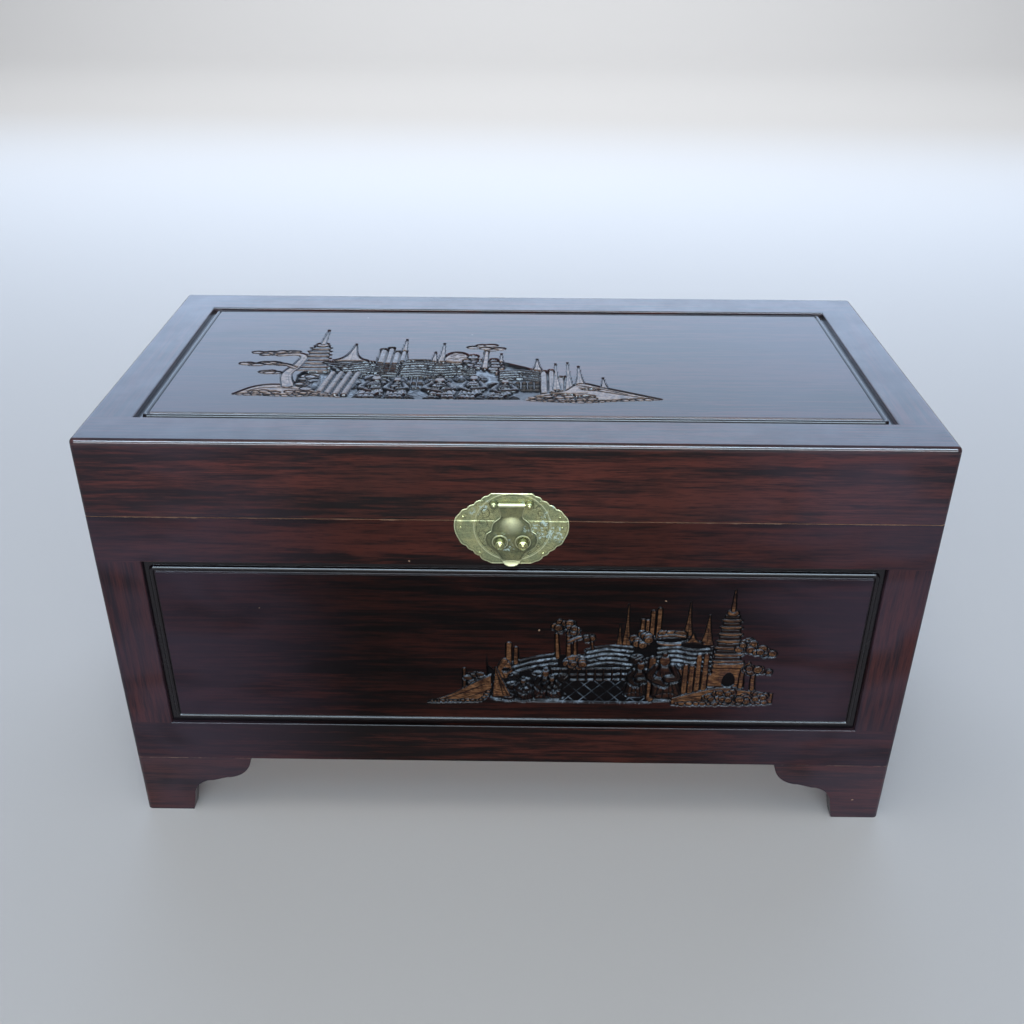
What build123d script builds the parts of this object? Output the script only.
from build123d import *
import math
import os

os.makedirs("parts", exist_ok=True)

# A carved camphor-wood chest with a hinged lid and a brass hasp.
# Millimetres. X runs to the right, Y to the back and Z up.
# The origin is on the floor, under the middle of the chest.

# ---- driving dimensions -------------------------------------------------

chest_width = 1016.0
chest_depth = 510.0
chest_height = 572.0
lid_height = 101.0          # from the parting line to the top
foot_height = 95.0
board = 20.0                # thickness of every wall and frame member
lid_gap = 0.8               # between the rim of the case and the lid
corner_round = 7.0          # upright outer corners
lid_top_round = 6.0         # outer edge of the top
seam_chamfer = 0.8          # along the joints of the back boards

# frame members of the front, the ends and the top
top_rail_width = 63.0
bottom_rail_width = 61.0
stile_width = 57.0
lid_rail_width = 63.0
lid_stile_width = 56.0
opening_round = 2.0         # soft edge round each frame opening
groove_depth = 9.0          # groove that holds a panel's tongue
groove_room = 0.3           # groove in front of the tongue
front_groove_stop = 12.0    # the rail's groove ends short of the rail's end
end_groove_stop = 6.0
tenon_room = 0.3            # short of the bottom of the groove

# profile of a floating panel, as depths below the face of its frame
tongue_length = 8.0
recess_depth = 6.0
recess_width = 7.0
panel_back_depth = 14.0
bead_width = 6.0
bead_height = 5.0
bead_corner = 7.0
crease_width = 1.8
crease_depth = 3.0
field_depth = 0.5
field_round = 0.8

# lid: the top frame is rebated over the walls of the lid
top_lip = 8.0               # thickness of the part that lies on the walls
top_thickness = 20.0

# back, bottom and inner pieces
back_board_count = 3
bottom_board_count = 3
bottom_thickness = 12.0
cleat_height = 12.0
cleat_width = 18.0
lip_thickness = 8.0         # dust lip inside the rim
lip_rise = 12.0
lip_drop = 30.0
lip_room = 1.0              # between the lip and the walls of the lid
lip_end_room = 30.0         # the end lips stop short of the back

# bracket feet, measured inwards from the corner and up from the floor
foot_reach = 154.0
toe_width = 65.0
toe_lean = 5.0
hollow_radius = 29.0
knee_radius = 35.0
ledge_drop = 5.5
block_size = 30.0
block_lift = 3.0            # glue blocks stay off the floor

# brass lock plate, split at the parting line
plate_centre_x = -2.4
plate_thickness = 1.2
plate_half_top = 24.0
plate_half_width = 68.0
plate_rise = 37.7           # above the parting line
plate_fall = 58.3           # below the parting line
plate_widest = 8.0          # widest point, below the parting line
scallop_bulge = 1.6
pin_shank_radius = 0.9
pin_head_radius = 2.0
pin_head_height = 1.0
pin_length = 12.0

# hasp, hung from a rod between two studs on the upper plate
hasp_axis_rise = 24.0       # above the parting line
hasp_axis_stand = 3.2       # in front of the plate
hasp_half_width = 15.5
hasp_length = 84.7
hasp_thickness = 1.5
knuckle_radius = 2.9
rod_radius = 1.5
rod_fit = 0.08
stud_offset = 20.8
stud_radius = 4.5
stud_reach = 7.4
stud_round = 2.0
stud_shank_radius = 1.8
rod_bite = 3.0              # how far the rod goes past the middle of a stud

# posts that pass through the hasp and take the bar of a padlock
post_offset = 13.65
post_drop = 27.6            # below the parting line
post_radius = 6.2
post_reach = 12.0
post_round = 3.4
post_shank_radius = 2.5
post_hole_room = 1.5        # hole in the hasp round each post
padlock_radius = 2.0
padlock_stand = 6.3         # padlock bar in front of the plate
shank_length = 15.0

# stop hinges at the back
hinge_offset = 300.0
hinge_width = 70.0
leaf_thickness = 1.6
leaf_reach = 17.0
hinge_radius = 3.5
hinge_pin_radius = 1.5
hinge_pin_fit = 0.06
hinge_play = 0.3            # between neighbouring knuckles
hinge_stand = 0.3           # between the knuckles and the back
leaf_setback = 0.5          # leaf cut back beside the other leaf's knuckle
stop_length = 8.0
stop_thickness = 2.6
stop_room = 0.1
lid_swing = 95.0
screw_head_radius = 3.0
screw_shank_radius = 1.5
screw_head_depth = 1.5
screw_length = 14.0
screw_spacing = 22.0

# ---- places worked out from them ----------------------------------------

half_width = chest_width / 2
half_depth = chest_depth / 2
inner_half_width = half_width - board
inner_half_depth = half_depth - board
rim_z = chest_height - lid_height
lid_z = rim_z + lid_gap
lid_wall_top = chest_height - top_lip
front_y = -half_depth
plate_face = front_y - plate_thickness
hasp_axis_y = plate_face - hasp_axis_stand
hasp_axis_z = rim_z + hasp_axis_rise
hinge_axis_y = half_depth + hinge_stand + hinge_radius
hinge_axis_z = rim_z + lid_gap / 2


# ---- helpers -------------------------------------------------------------

def block(x0, x1, y0, y1, z0, z1):
    """A box between two corners."""
    middle = Pos((x0 + x1) / 2, (y0 + y1) / 2, (z0 + z1) / 2)
    return middle * Box(x1 - x0, y1 - y0, z1 - z0)


def rod_x(x0, x1, y, z, radius):
    """A cylinder along X."""
    return Pos((x0 + x1) / 2, y, z) * Rot(0, 90, 0) * Cylinder(radius, x1 - x0)


def rod_y(x, z, y0, y1, radius):
    """A cylinder along Y."""
    return Pos(x, (y0 + y1) / 2, z) * Rot(90, 0, 0) * Cylinder(radius, y1 - y0)


def near(a, b):
    return abs(a - b) < 1e-4


def round_uprights(part, corners, radius=corner_round):
    """Round the upright edges that stand on the given corners in plan."""
    def chosen(edge):
        middle = edge.center()
        return any(near(middle.X, x) and near(middle.Y, y) for x, y in corners)
    edges = part.edges().filter_by(Axis.Z).filter_by(chosen)
    return fillet(edges, radius)


def save(node, part):
    """Write one node, as one solid or as a group of separate solids."""
    solids = part.solids()
    shape = solids[0] if len(solids) == 1 else Compound(children=list(solids))
    shape.label = node
    export_step(shape, f"parts/{node}.step")


def plane_on(face, x, y, z):
    """A plane whose X runs along the wall, Y up the wall and Z out of it."""
    x_dirs = {"front": (1, 0, 0), "left": (0, -1, 0), "right": (0, 1, 0), "top": (1, 0, 0)}
    z_dirs = {"front": (0, -1, 0), "left": (-1, 0, 0), "right": (1, 0, 0), "top": (0, 0, 1)}
    return Plane(origin=(x, y, z), x_dir=x_dirs[face], z_dir=z_dirs[face])


# ---- frames and panels, made lying flat with the face at Z = 0 -----------

def frame_members(blank, width, height, rails, stile, groove_stop):
    """Cut a flat frame into two grooved rails and two stiles with stub tenons.

    The frame runs from -width/2 to width/2 in X and from 0 to height in Y.
    """
    left = stile - width / 2
    right = width / 2 - stile
    low = rails[0]
    high = height - rails[1]
    deep = -board - top_thickness

    def beside_opening(edge):
        middle = edge.center()
        across = left - 0.01 <= middle.X <= right + 0.01
        along = low - 0.01 <= middle.Y <= high + 0.01
        return near(middle.Z, 0) and across and along

    frame = blank - block(left, right, low, high, deep, 1)
    frame = fillet(frame.edges().filter_by(beside_opening), opening_round)
    groove = (-panel_back_depth, -recess_depth + groove_room)
    outer = width / 2 - groove_stop

    rail_low = frame & block(-width, width, -1, low, deep, 1)
    rail_low -= block(-outer, outer, low - groove_depth, low + 1, *groove)
    rail_high = frame & block(-width, width, high, height + 1, deep, 1)
    rail_high -= block(-outer, outer, high - 1, high + groove_depth, *groove)

    stiles = []
    for side, edge in ((-1, left), (1, right)):
        piece = frame & block(*sorted((edge, side * width)), low, high, deep, 1)
        slot = sorted((edge + side * groove_depth, edge - side))
        piece -= block(*slot, low - 1, high + 1, *groove)
        tenon = sorted((edge + side * groove_depth, side * (outer - tenon_room)))
        reach = groove_depth - tenon_room
        piece += block(*tenon, low - reach, high + reach, *groove)
        stiles.append(piece)
    return rail_low, rail_high, stiles[0], stiles[1]


def beaded_panel(width, height):
    """A floating panel for an opening: tongue, recess, bead, crease and field."""
    half_x = width / 2
    half_y = height / 2
    reach_x = half_x + tongue_length
    reach_y = half_y + tongue_length
    panel = block(-reach_x, reach_x, -reach_y, reach_y, -panel_back_depth, -recess_depth)

    outer_x = width - 2 * recess_width
    outer_y = height - 2 * recess_width
    inner_x = outer_x - 2 * bead_width
    inner_y = outer_y - 2 * bead_width
    floor = Plane.XY.offset(-recess_depth)
    ring = floor * RectangleRounded(outer_x, outer_y, bead_corner)
    ring -= floor * RectangleRounded(inner_x, inner_y, bead_corner - bead_width + 1)
    bead = extrude(ring, amount=bead_height)
    bead = fillet(bead.edges().group_by(Axis.Z)[-1], bead_width / 2 - 0.05)

    ground = block(-inner_x / 2 - 1, inner_x / 2 + 1, -inner_y / 2 - 1, inner_y / 2 + 1,
                   -recess_depth, -crease_depth)
    field_x = inner_x / 2 - crease_width
    field_y = inner_y / 2 - crease_width
    field = block(-field_x, field_x, -field_y, field_y, -recess_depth, -field_depth)
    field = fillet(field.edges().group_by(Axis.Z)[-1], field_round)
    return panel + bead + ground + field


def front_members():
    """The framed and panelled front of the case."""
    height = rim_z - foot_height
    blank = block(-half_width, half_width, 0, height, -board, 0)
    corners = [edge for edge in blank.edges().filter_by(Axis.Y)
               if near(edge.center().Z, 0)]
    blank = fillet(corners, corner_round)
    rails = (bottom_rail_width, top_rail_width)
    flat = frame_members(blank, chest_width, height, rails, stile_width, front_groove_stop)
    place = plane_on("front", 0, front_y, foot_height)
    names = ("bottom_rail", "top_rail", "left_stile", "right_stile")
    members = {f"front_{name}": place * piece for name, piece in zip(names, flat)}

    open_height = height - sum(rails)
    panel = beaded_panel(chest_width - 2 * stile_width, open_height)
    middle = foot_height + bottom_rail_width + open_height / 2
    members["front_panel"] = plane_on("front", 0, front_y, middle) * panel
    return members


def end_members(side):
    """The framed and panelled left or right end, between the front and the back."""
    height = rim_z - foot_height
    depth = 2 * inner_half_depth
    stile = stile_width - board
    blank = block(-depth / 2, depth / 2, 0, height, -board, 0)
    rails = (bottom_rail_width, top_rail_width)
    flat = frame_members(blank, depth, height, rails, stile, end_groove_stop)
    face_x = -half_width if side == "left" else half_width
    place = plane_on(side, face_x, 0, foot_height)
    order = ("rear_stile", "front_stile") if side == "left" else ("front_stile", "rear_stile")
    names = ("bottom_rail", "top_rail") + order
    members = {f"{side}_{name}": place * piece for name, piece in zip(names, flat)}

    open_height = height - sum(rails)
    panel = beaded_panel(depth - 2 * stile, open_height)
    middle = foot_height + bottom_rail_width + open_height / 2
    members[f"{side}_panel"] = plane_on(side, face_x, 0, middle) * panel
    return members


def lid_top_members():
    """The frame of the top, rebated over the walls of the lid, and its panel."""
    lip = block(-half_width, half_width, 0, chest_depth, -top_lip, 0)
    lip = fillet(lip.edges().filter_by(Axis.Z), corner_round)
    lip = fillet(lip.edges().group_by(Axis.Z)[-1], lid_top_round)
    core = block(-inner_half_width, inner_half_width, board, chest_depth - board,
                 -top_thickness, -top_lip)
    rails = (lid_rail_width, lid_rail_width)
    flat = frame_members(lip + core, chest_width, chest_depth, rails, lid_stile_width,
                         front_groove_stop + board)
    place = plane_on("top", 0, front_y, chest_height)
    names = ("front_rail", "rear_rail", "left_stile", "right_stile")
    members = {f"lid_{name}": place * piece for name, piece in zip(names, flat)}

    panel = beaded_panel(chest_width - 2 * lid_stile_width, chest_depth - 2 * lid_rail_width)
    members["lid_panel"] = plane_on("top", 0, 0, chest_height) * panel
    return members


# ---- plain boards --------------------------------------------------------

def back_boards():
    """Horizontal boards, butted, with a small V along each joint."""
    height = (rim_z - foot_height) / back_board_count
    names = ("back_bottom_board", "back_middle_board", "back_top_board")
    boards = {}
    for index, name in enumerate(names):
        low = foot_height + index * height
        piece = block(-half_width, half_width, inner_half_depth, half_depth, low, low + height)
        corners = [(-half_width, half_depth), (half_width, half_depth)]
        piece = round_uprights(piece, corners)
        joints = [z for z in (low, low + height) if foot_height + 1 < z < rim_z - 1]
        edges = [edge for edge in piece.edges().filter_by(Axis.X)
                 if near(edge.center().Y, half_depth)
                 and any(near(edge.center().Z, z) for z in joints)]
        boards[name] = chamfer(edges, seam_chamfer)
    return boards


def bottom_members():
    """Bottom boards along the chest, lying on cleats round the walls."""
    low = foot_height + cleat_height
    width = 2 * inner_half_depth / bottom_board_count
    members = {}
    for index in range(bottom_board_count):
        y0 = -inner_half_depth + index * width
        members[f"bottom_board_{index + 1}"] = block(
            -inner_half_width, inner_half_width, y0, y0 + width, low, low + bottom_thickness)
    x1, y1, z0 = inner_half_width, inner_half_depth, foot_height
    cleats = []
    for side in (-1, 1):
        cleats.append(block(-x1, x1, *sorted((side * y1, side * (y1 - cleat_width))), z0, low))
        cleats.append(block(*sorted((side * x1, side * (x1 - cleat_width))),
                            cleat_width - y1, y1 - cleat_width, z0, low))
    members["bottom_cleats"] = Compound(children=cleats)
    return members


def rim_lips():
    """Dust lips inside the rim, which stand up into the lid."""
    low = rim_z - lip_drop
    high = rim_z + lip_rise
    x1, y1 = inner_half_width, inner_half_depth
    front = block(-x1, x1, -y1, lip_thickness - y1, low, rim_z)
    front += block(lip_room - x1, x1 - lip_room, lip_room - y1, lip_thickness - y1, rim_z, high)
    lips = {"rim_lip_front": front}
    for name, side in (("left", -1), ("right", 1)):
        run = (lip_thickness - y1, y1 - lip_end_room)
        inner = side * (x1 - lip_thickness)
        piece = block(*sorted((side * x1, inner)), *run, low, rim_z)
        piece += block(*sorted((side * (x1 - lip_room), inner)), *run, rim_z, high)
        lips[f"rim_lip_{name}"] = piece
    return lips


def lid_walls():
    """The four walls of the lid, under the rebated top."""
    corners = {"front": -half_depth, "back": half_depth}
    walls = {}
    for name, y in corners.items():
        inner = math.copysign(inner_half_depth, y)
        piece = block(-half_width, half_width, *sorted((y, inner)), lid_z, lid_wall_top)
        walls[f"lid_{name}_board"] = round_uprights(piece, [(-half_width, y), (half_width, y)])
    for name, side in (("left", -1), ("right", 1)):
        run = sorted((side * half_width, side * inner_half_width))
        walls[f"lid_{name}_board"] = block(*run, -inner_half_depth, inner_half_depth,
                                           lid_z, lid_wall_top)
    return walls


# ---- bracket feet --------------------------------------------------------

def foot_profile():
    """Outline of a bracket foot: toe, hollow, ledge and knee."""
    ledge = foot_height - knee_radius - ledge_drop
    heel = toe_width + toe_lean
    knee_x = foot_reach - knee_radius
    diagonal = math.sqrt(0.5)
    hollow_middle = (heel + hollow_radius * (1 - diagonal), ledge - hollow_radius * (1 - diagonal))
    knee_middle = (knee_x + knee_radius * diagonal, foot_height - knee_radius * diagonal)
    hollow_end = (heel + hollow_radius, ledge)
    knee_start = (knee_x, foot_height - knee_radius)
    edges = [
        Line((0, foot_height), (0, 0)),
        Line((0, 0), (toe_width, 0)),
        Line((toe_width, 0), (heel, ledge - hollow_radius)),
        ThreePointArc((heel, ledge - hollow_radius), hollow_middle, hollow_end),
        Line(hollow_end, knee_start),
        ThreePointArc(knee_start, knee_middle, (foot_reach, foot_height)),
        Line((foot_reach, foot_height), (0, foot_height)),
    ]
    return make_face(edges)


def foot_members():
    """Eight brackets in four corners, with a glue block inside each corner."""
    profile = foot_profile()
    stand = Plane(origin=(0, 0, 0), x_dir=(1, 0, 0), z_dir=(0, -1, 0))
    flat = extrude(stand * profile, amount=board)
    members = {}
    blocks = []
    for x_name, x_side in (("left", -1), ("right", 1)):
        for y_name, y_side in (("front", -1), ("rear", 1)):
            # along the front or the back
            long_piece = Pos(-half_width, 0, 0) * flat
            if x_side > 0:
                long_piece = mirror(long_piece, Plane.YZ)
            shift = -inner_half_depth if y_side < 0 else half_depth
            long_piece = Pos(0, shift, 0) * long_piece
            corner = (x_side * half_width, y_side * half_depth)
            members[f"foot_{y_name}_{x_name}_bracket"] = round_uprights(long_piece, [corner])
            # along the end, behind the piece above
            turned = Rot(0, 0, 90) * flat
            short_piece = Pos(0, -half_depth, 0) * turned
            if y_side > 0:
                short_piece = mirror(short_piece, Plane.XZ)
            shift = half_width - board if x_side > 0 else -half_width
            short_piece = Pos(shift - short_piece.bounding_box().min.X, 0, 0) * short_piece
            inside = block(-chest_width, chest_width, -inner_half_depth, inner_half_depth,
                           -1, foot_height + 1)
            members[f"end_{y_name}_{x_name}_bracket"] = short_piece & inside
            blocks.append(block(
                *sorted((x_side * inner_half_width, x_side * (inner_half_width - block_size))),
                *sorted((y_side * inner_half_depth, y_side * (inner_half_depth - block_size))),
                block_lift, foot_height))
    members["foot_blocks"] = Compound(children=blocks)
    return members


# ---- lock plate, hasp and posts ------------------------------------------

def scalloped(start, end, count):
    """Small outward bulges in a row from start to end, for a run down the right side."""
    step_x = (end[0] - start[0]) / count
    step_y = (end[1] - start[1]) / count
    length = math.hypot(step_x, step_y)
    out_x = -step_y / length * scallop_bulge
    out_y = step_x / length * scallop_bulge
    arcs = []
    for index in range(count):
        a = (start[0] + index * step_x, start[1] + index * step_y)
        b = (a[0] + step_x, a[1] + step_y)
        middle = ((a[0] + b[0]) / 2 + out_x, (a[1] + b[1]) / 2 + out_y)
        arcs.append(ThreePointArc(a, middle, b))
    return arcs


def plate_outline():
    """Lobed outline of the whole plate, centred in X, with the parting line at 0."""
    top = plate_rise
    low = -plate_fall
    side_top = (plate_half_width - 7.0, 11.0)
    side_low = (plate_half_width - 6.0, -27.0)
    top_corner = (plate_half_top + 4.0, top - 3.5)
    low_corner = (plate_half_top + 6.0, low + 3.0)
    right = [Line((0, top), (plate_half_top, top)), Line((plate_half_top, top), top_corner)]
    right += scalloped(top_corner, side_top, 3)
    right += [ThreePointArc(side_top, (plate_half_width, -plate_widest), side_low)]
    right += scalloped(side_low, low_corner, 3)
    right += [Line(low_corner, (plate_half_top, low)), Line((plate_half_top, low), (0, low))]
    left = [edge.mirror(Plane.YZ) for edge in right]
    return make_face(right + left)


def upright(sketch, x, z, y_back, thickness):
    """Stand a flat sketch up at the front, from y_back towards the viewer."""
    place = Plane(origin=(x, y_back, z), x_dir=(1, 0, 0), z_dir=(0, -1, 0))
    return extrude(place * sketch, amount=thickness)


def plate_halves():
    whole = upright(plate_outline(), plate_centre_x, rim_z, front_y, plate_thickness)
    wide = chest_width
    upper = whole & block(-wide, wide, -wide, wide, lid_z, chest_height)
    lower = whole & block(-wide, wide, -wide, wide, 0, rim_z)
    return upper, lower


def plate_pin(x, z):
    """A nail with a low domed head against the plate."""
    shank = rod_y(x, z, plate_face, plate_face + pin_length, pin_shank_radius)
    head = rod_y(x, z, plate_face - pin_head_height, plate_face, pin_head_radius)
    rim = head.edges().filter_by(lambda edge: near(edge.center().Y, plate_face - pin_head_height))
    return fillet(rim, pin_head_height * 0.8) + shank


def plate_pins(places):
    return [plate_pin(plate_centre_x + x, rim_z + z) for x, z in places]


def stud(x, z, radius, reach, rounding, shank_radius):
    """A round-headed post with a shank through the plate and into the wood."""
    head = rod_y(x, z, plate_face - reach, plate_face, radius)
    rim = head.edges().filter_by(lambda edge: near(edge.center().Y, plate_face - reach))
    head = fillet(rim, rounding)
    return head + rod_y(x, z, plate_face, plate_face + shank_length, shank_radius)


def hasp_outline():
    """Gourd-shaped outline, centred in X, with the hinge axis at 0."""
    low = -hasp_length
    neck = (hasp_half_width - 1.9, -15.0)
    shoulder = (hasp_half_width - 1.0, -18.5)
    waist = (24.4, -36.0)
    side_low = (23.4, -63.0)
    tail_top = (12.0, -76.5)
    right = [
        Line((0, 0), (hasp_half_width, 0)),
        Line((hasp_half_width, 0), neck),
        Line(neck, shoulder),
        ThreePointArc(shoulder, (22.4, -27.0), waist),
        ThreePointArc(waist, (31.9, -48.0), side_low),
        ThreePointArc(side_low, (16.5, -69.0), tail_top),
        ThreePointArc(tail_top, (7.5, low + 2.0), (0, low)),
    ]
    left = [edge.mirror(Plane.YZ) for edge in right]
    return make_face(right + left)


def hasp():
    """A plate rolled round the rod at its top, with a hole for each post."""
    back_y = hasp_axis_y + knuckle_radius
    sheet = upright(hasp_outline(), plate_centre_x, hasp_axis_z, back_y, hasp_thickness)
    knuckle = rod_x(plate_centre_x - hasp_half_width, plate_centre_x + hasp_half_width,
                    hasp_axis_y, hasp_axis_z, knuckle_radius)
    piece = sheet + knuckle
    piece -= rod_x(-chest_width, chest_width, hasp_axis_y, hasp_axis_z, rod_radius + rod_fit)
    for side in (-1, 1):
        piece -= rod_y(plate_centre_x + side * post_offset, rim_z - post_drop,
                       hasp_axis_y - hasp_length, half_depth, post_radius + post_hole_room)
    return piece


def lock_members():
    """Brass pieces on the front, with the holes that they need in the wood."""
    upper, lower = plate_halves()
    rod_half = stud_offset + rod_bite
    rod = rod_x(plate_centre_x - rod_half, plate_centre_x + rod_half,
                hasp_axis_y, hasp_axis_z, rod_radius)
    studs = [stud(plate_centre_x + side * stud_offset, hasp_axis_z, stud_radius,
                  stud_reach, stud_round, stud_shank_radius) for side in (-1, 1)]
    posts = [stud(plate_centre_x + side * post_offset, rim_z - post_drop, post_radius,
                  post_reach, post_round, post_shank_radius) for side in (-1, 1)]
    upper_pins = plate_pins([(-57.0, 5.5), (57.0, 5.5), (-34.0, 27.0), (34.0, 27.0)])
    lower_pins = plate_pins([(-60.0, -9.0), (60.0, -9.0), (-38.0, -44.0), (38.0, -44.0)])
    padlock_bar = rod_x(-chest_width, chest_width, plate_face - padlock_stand,
                        rim_z - post_drop, padlock_radius)

    for piece in studs + upper_pins:
        upper -= piece
    for piece in posts + lower_pins:
        lower -= piece
    members = {
        "lock_plate_upper": upper,
        "lock_plate_lower": lower,
        "hasp": hasp(),
        "hasp_rod": rod,
        "hasp_studs": Compound(children=[piece - rod for piece in studs]),
        "lock_post_left": posts[0] - padlock_bar,
        "lock_post_right": posts[1] - padlock_bar,
        "plate_pins_upper": Compound(children=upper_pins),
        "plate_pins_lower": Compound(children=lower_pins),
    }
    return members, studs + upper_pins, posts + lower_pins


# ---- hinges --------------------------------------------------------------

def hinge_screw(x, y, z, up):
    """A countersunk screw whose head lies flush at z; up is 1 if the head faces up."""
    cone = Cone(screw_shank_radius, screw_head_radius, screw_head_depth)
    cone = Pos(0, 0, -screw_head_depth / 2) * cone
    shank = Pos(0, 0, -screw_length / 2) * Cylinder(screw_shank_radius, screw_length)
    screw = cone + shank
    if up < 0:
        screw = Rot(180, 0, 0) * screw
    return Pos(x, y, z) * screw


def hinge_leaf(x, up):
    """One leaf: a mortised plate and its knuckles; up is -1 for the case, 1 for the lid."""
    face_z = rim_z if up < 0 else lid_z
    z0, z1 = sorted((face_z, face_z + up * leaf_thickness))
    third = hinge_width / 3
    x0 = x - hinge_width / 2
    x1 = x + hinge_width / 2
    centre = (x0 + third, x1 - third)
    plate = block(x0, x1, half_depth - leaf_reach, half_depth, z0, z1)
    own = [(x0, centre[0]), (centre[1], x1)] if up < 0 else [centre]
    other = [centre] if up < 0 else [(x0, centre[0]), (centre[1], x1)]
    leaf = plate
    for a, b in other:
        leaf -= block(a - hinge_play, b + hinge_play, half_depth - leaf_setback,
                      half_depth + 1, z0 - 1, z1 + 1)
    for a, b in own:
        a += hinge_play / 2 if near(a, centre[0]) or near(a, centre[1]) else 0
        b -= hinge_play / 2 if near(b, centre[0]) or near(b, centre[1]) else 0
        leaf += block(a, b, half_depth - leaf_setback, hinge_axis_y, z0, z1)
        leaf += rod_x(a, b, hinge_axis_y, hinge_axis_z, hinge_radius)
        if up > 0:
            leaf += stop_tail(a, b)
    fit = hinge_pin_radius + (hinge_pin_fit if up > 0 else 0)
    leaf -= rod_x(x0 - 1, x1 + 1, hinge_axis_y, hinge_axis_z, fit)
    return leaf, plate


def stop_tail(a, b):
    """The heel that meets the back of the case when the lid is fully open."""
    near_y = half_depth + stop_room
    heel = block(a, b, near_y, near_y + stop_thickness, hinge_axis_z - stop_length, hinge_axis_z)
    axis = Axis((0, hinge_axis_y, hinge_axis_z), (-1, 0, 0))
    return heel.rotate(axis, -lid_swing)


def hinge_members():
    """Two stop hinges, their pins and screws, and the cuts they need in the wood."""
    members = {}
    pins = []
    cuts = {-1: [], 1: []}
    screws = {-1: [], 1: []}
    screw_y = half_depth - leaf_reach / 2
    for name, side in (("left", -1), ("right", 1)):
        x = side * hinge_offset
        for up, owner in ((-1, "case"), (1, "lid")):
            leaf, plate = hinge_leaf(x, up)
            face_z = rim_z if up < 0 else lid_z
            cuts[up].append(plate)
            for step in (-1, 0, 1):
                screw = hinge_screw(x + step * screw_spacing, screw_y, face_z, -up)
                leaf -= screw
                screws[up].append(screw)
            members[f"hinge_{name}_{owner}_leaf"] = leaf
        pins.append(rod_x(x - hinge_width / 2, x + hinge_width / 2,
                          hinge_axis_y, hinge_axis_z, hinge_pin_radius))
    members["hinge_pins"] = Compound(children=pins)
    members["hinge_case_screws"] = Compound(children=screws[-1])
    members["hinge_lid_screws"] = Compound(children=screws[1])
    return members, cuts[-1] + screws[-1], cuts[1] + screws[1]


# ---- the whole chest -----------------------------------------------------

def chest():
    members = {}
    for group in (front_members(), end_members("left"), end_members("right"),
                  back_boards(), bottom_members(), rim_lips(), foot_members(),
                  lid_walls(), lid_top_members()):
        members.update(group)
    lock, lid_cuts, case_cuts = lock_members()
    for piece in lid_cuts:
        members["lid_front_board"] -= piece
    for piece in case_cuts:
        members["front_top_rail"] -= piece
    hinges, case_cuts, lid_cuts = hinge_members()
    for piece in case_cuts:
        members["back_top_board"] -= piece
    for piece in lid_cuts:
        members["lid_back_board"] -= piece
    members.update(lock)
    members.update(hinges)
    return members


for node, part in chest().items():
    save(node, part)
